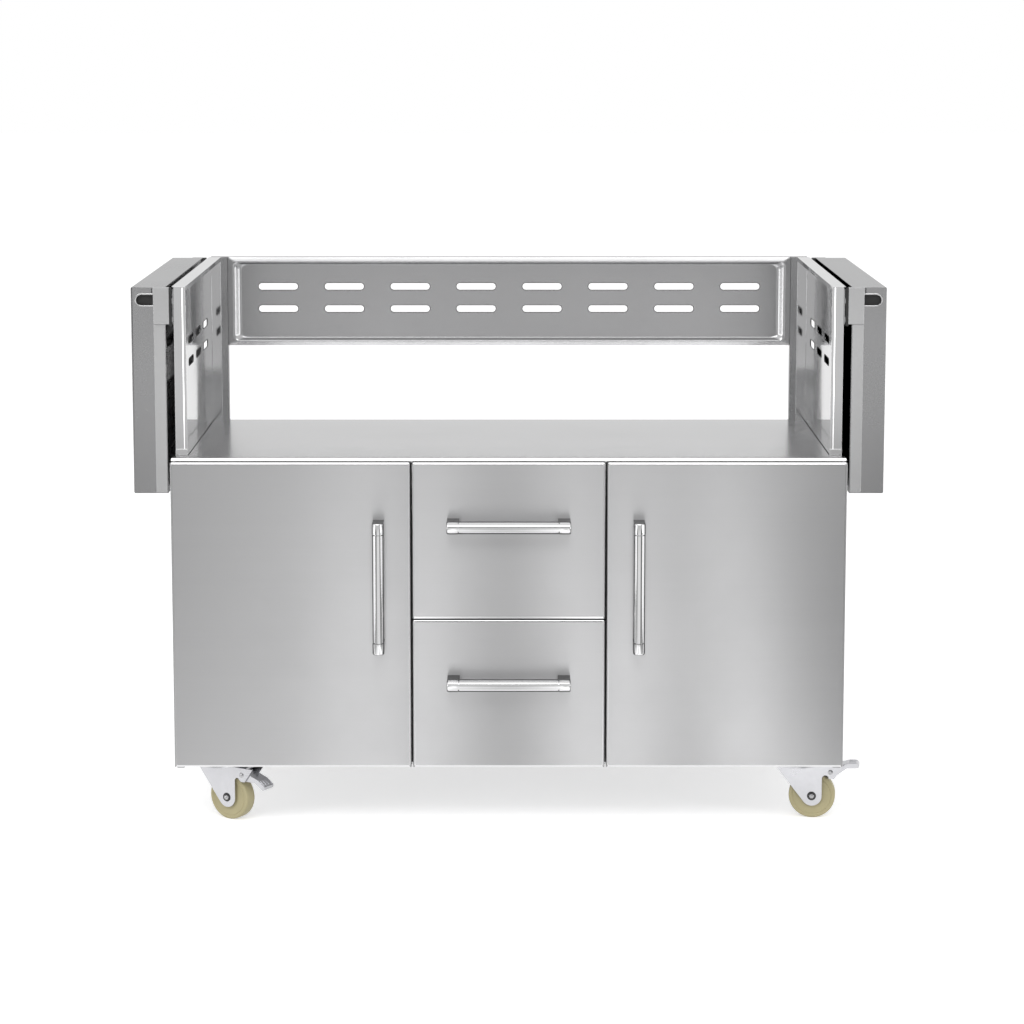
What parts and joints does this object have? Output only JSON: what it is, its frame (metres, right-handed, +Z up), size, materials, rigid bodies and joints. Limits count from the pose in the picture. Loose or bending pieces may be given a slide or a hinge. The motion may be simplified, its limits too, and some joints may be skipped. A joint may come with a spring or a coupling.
{
  "type": "grill cart with storage",
  "caption": "Stainless steel grill cart on swivel casters, with a recessed deck between vented side frames, a rear vent panel, doors, drawers and fold-down side shelves.",
  "frame": {"origin": "on the floor below the middle of the overall box", "axes": "+X to the user's right along the width, +Y to the back, +Z up"},
  "size_m": [1.268, 0.708, 0.926],
  "materials": {
    "brushed_stainless": "stainless steel brushed along the width",
    "satin_stainless": "satin stainless steel",
    "shelf_stainless": "satin stainless steel brushed along the depth",
    "deck_stainless": "bright annealed stainless steel with soft reflections",
    "polished_stainless": "polished stainless steel",
    "drawer_box_steel": "satin sheet steel",
    "runner_zinc": "bright zinc plate",
    "caster_zinc": "bright zinc plate on stamped steel",
    "fastener_steel": "zinc-plated fastener",
    "wheel_tread": "beige polyurethane, matte",
    "black_plastic": "black moulded plastic"
  },
  "bodies": {
    "carcass": {"base_pan": "satin_stainless", "left_side_panel": "satin_stainless", "right_side_panel": "satin_stainless", "rear_wall": "satin_stainless", "deck": "deck_stainless", "left_divider": "satin_stainless", "right_divider": "satin_stainless", "front_rails": "satin_stainless", "left_upper_frame": "polished_stainless", "right_upper_frame": "polished_stainless", "rear_vent_panel": "satin_stainless", "rear_posts": "satin_stainless", "left_shelf_brackets": "shelf_stainless", "right_shelf_brackets": "shelf_stainless", "runner_outer_rails": "runner_zinc", "door_pivots": "fastener_steel", "door_catches": "black_plastic", "caster_top_plates": "caster_zinc", "caster_bolts": "fastener_steel"},
    "left_door": {"left_door_panel": "brushed_stainless", "left_door_liner": "satin_stainless", "left_door_handle": "polished_stainless", "left_door_bushes": "black_plastic"},
    "right_door": {"right_door_panel": "brushed_stainless", "right_door_liner": "satin_stainless", "right_door_handle": "polished_stainless", "right_door_bushes": "black_plastic"},
    "upper_drawer": {"upper_drawer_front": "brushed_stainless", "upper_drawer_liner": "satin_stainless", "upper_drawer_box": "drawer_box_steel", "upper_drawer_handle": "polished_stainless", "upper_drawer_inner_rails": "runner_zinc"},
    "upper_middle": {"upper_middle_rails": "runner_zinc"},
    "lower_drawer": {"lower_drawer_front": "brushed_stainless", "lower_drawer_liner": "satin_stainless", "lower_drawer_box": "drawer_box_steel", "lower_drawer_handle": "polished_stainless", "lower_drawer_inner_rails": "runner_zinc"},
    "lower_middle": {"lower_middle_rails": "runner_zinc"},
    "left_shelf_pivot": {"left_shelf_pivot_rod": "fastener_steel"},
    "left_shelf": {"left_shelf_pan": "shelf_stainless", "left_shelf_stiffener": "shelf_stainless"},
    "right_shelf_pivot": {"right_shelf_pivot_rod": "fastener_steel"},
    "right_shelf": {"right_shelf_pan": "shelf_stainless", "right_shelf_stiffener": "shelf_stainless"},
    "front_left_swivel": {"front_left_fork": "caster_zinc", "front_left_pins": "fastener_steel"},
    "front_left_wheel": {"front_left_wheel": "wheel_tread"},
    "front_left_pedal": {"front_left_pedal": "caster_zinc"},
    "front_right_swivel": {"front_right_fork": "caster_zinc", "front_right_pins": "fastener_steel"},
    "front_right_wheel": {"front_right_wheel": "wheel_tread"},
    "front_right_pedal": {"front_right_pedal": "caster_zinc"},
    "rear_left_swivel": {"rear_left_fork": "caster_zinc", "rear_left_pins": "fastener_steel"},
    "rear_left_wheel": {"rear_left_wheel": "wheel_tread"},
    "rear_right_swivel": {"rear_right_fork": "caster_zinc", "rear_right_pins": "fastener_steel"},
    "rear_right_wheel": {"rear_right_wheel": "wheel_tread"}
  },
  "joints": [
    {"name": "left_door_hinge", "type": "hinge", "parent": "carcass", "child": "left_door", "pos_m": [-0.5632, -0.2958, 0.3685], "axis": [0, 0, -1], "range_deg": [0, 105]},
    {"name": "right_door_hinge", "type": "hinge", "parent": "carcass", "child": "right_door", "pos_m": [0.5632, -0.2958, 0.3685], "axis": [0, 0, 1], "range_deg": [0, 105]},
    {"name": "upper_drawer_slide", "type": "slide", "parent": "carcass", "child": "upper_drawer", "axis": [0, -1, 0], "range_m": [0, 0.46]},
    {"name": "upper_middle_slide", "type": "slide", "parent": "carcass", "child": "upper_middle", "axis": [0, -1, 0], "range_m": [0, 0.23]},
    {"name": "lower_drawer_slide", "type": "slide", "parent": "carcass", "child": "lower_drawer", "axis": [0, -1, 0], "range_m": [0, 0.46]},
    {"name": "lower_middle_slide", "type": "slide", "parent": "carcass", "child": "lower_middle", "axis": [0, -1, 0], "range_m": [0, 0.23]},
    {"name": "left_shelf_drop", "type": "slide", "parent": "carcass", "child": "left_shelf_pivot", "axis": [0, 0, -1], "range_m": [0, 0.032]},
    {"name": "left_shelf_fold", "type": "hinge", "parent": "left_shelf_pivot", "child": "left_shelf", "pos_m": [-0.584, 0.024, 0.907], "axis": [0, 1, 0], "range_deg": [0, 90]},
    {"name": "right_shelf_drop", "type": "slide", "parent": "carcass", "child": "right_shelf_pivot", "axis": [0, 0, -1], "range_m": [0, 0.032]},
    {"name": "right_shelf_fold", "type": "hinge", "parent": "right_shelf_pivot", "child": "right_shelf", "pos_m": [0.584, 0.024, 0.907], "axis": [0, -1, 0], "range_deg": [0, 90]},
    {"name": "front_left_swivel", "type": "hinge", "parent": "carcass", "child": "front_left_swivel", "pos_m": [-0.5, -0.231, 0.094], "axis": [0, 0, 1], "continuous": true},
    {"name": "front_left_wheel_spin", "type": "hinge", "parent": "front_left_swivel", "child": "front_left_wheel", "pos_m": [-0.47795, -0.24478, 0.04], "axis": [0.5299, 0.848, 0], "continuous": true},
    {"name": "front_left_brake_pedal", "type": "hinge", "parent": "front_left_swivel", "child": "front_left_pedal", "pos_m": [-0.45081, -0.26173, 0.083], "axis": [0.5299, 0.848, 0], "range_deg": [-38, 0]},
    {"name": "front_right_swivel", "type": "hinge", "parent": "carcass", "child": "front_right_swivel", "pos_m": [0.5, -0.231, 0.094], "axis": [0, 0, 1], "continuous": true},
    {"name": "front_right_wheel_spin", "type": "hinge", "parent": "front_right_swivel", "child": "front_right_wheel", "pos_m": [0.52575, -0.23462, 0.04], "axis": [0.1392, 0.9903, 0], "continuous": true},
    {"name": "front_right_brake_pedal", "type": "hinge", "parent": "front_right_swivel", "child": "front_right_pedal", "pos_m": [0.55744, -0.23907, 0.083], "axis": [0.1392, 0.9903, 0], "range_deg": [0, 38]},
    {"name": "rear_left_swivel", "type": "hinge", "parent": "carcass", "child": "rear_left_swivel", "pos_m": [-0.5, 0.279, 0.094], "axis": [0, 0, 1], "continuous": true},
    {"name": "rear_left_wheel_spin", "type": "hinge", "parent": "rear_left_swivel", "child": "rear_left_wheel", "pos_m": [-0.47625, 0.28958, 0.04], "axis": [-0.4067, 0.9135, 0], "continuous": true},
    {"name": "rear_right_swivel", "type": "hinge", "parent": "carcass", "child": "rear_right_swivel", "pos_m": [0.5, 0.279, 0.094], "axis": [0, 0, 1], "continuous": true},
    {"name": "rear_right_wheel_spin", "type": "hinge", "parent": "rear_right_swivel", "child": "rear_right_wheel", "pos_m": [0.52443, 0.27011, 0.04], "axis": [0.342, 0.9397, 0], "continuous": true}
  ],
  "couplings": [
    {"joint": "upper_middle_slide", "follows": "upper_drawer_slide", "ratio": 0.5},
    {"joint": "lower_middle_slide", "follows": "lower_drawer_slide", "ratio": 0.5},
    {"joint": "left_shelf_drop", "follows": "left_shelf_fold", "m_per_rad": 0.02037},
    {"joint": "right_shelf_drop", "follows": "right_shelf_fold", "m_per_rad": 0.02037}
  ]
}
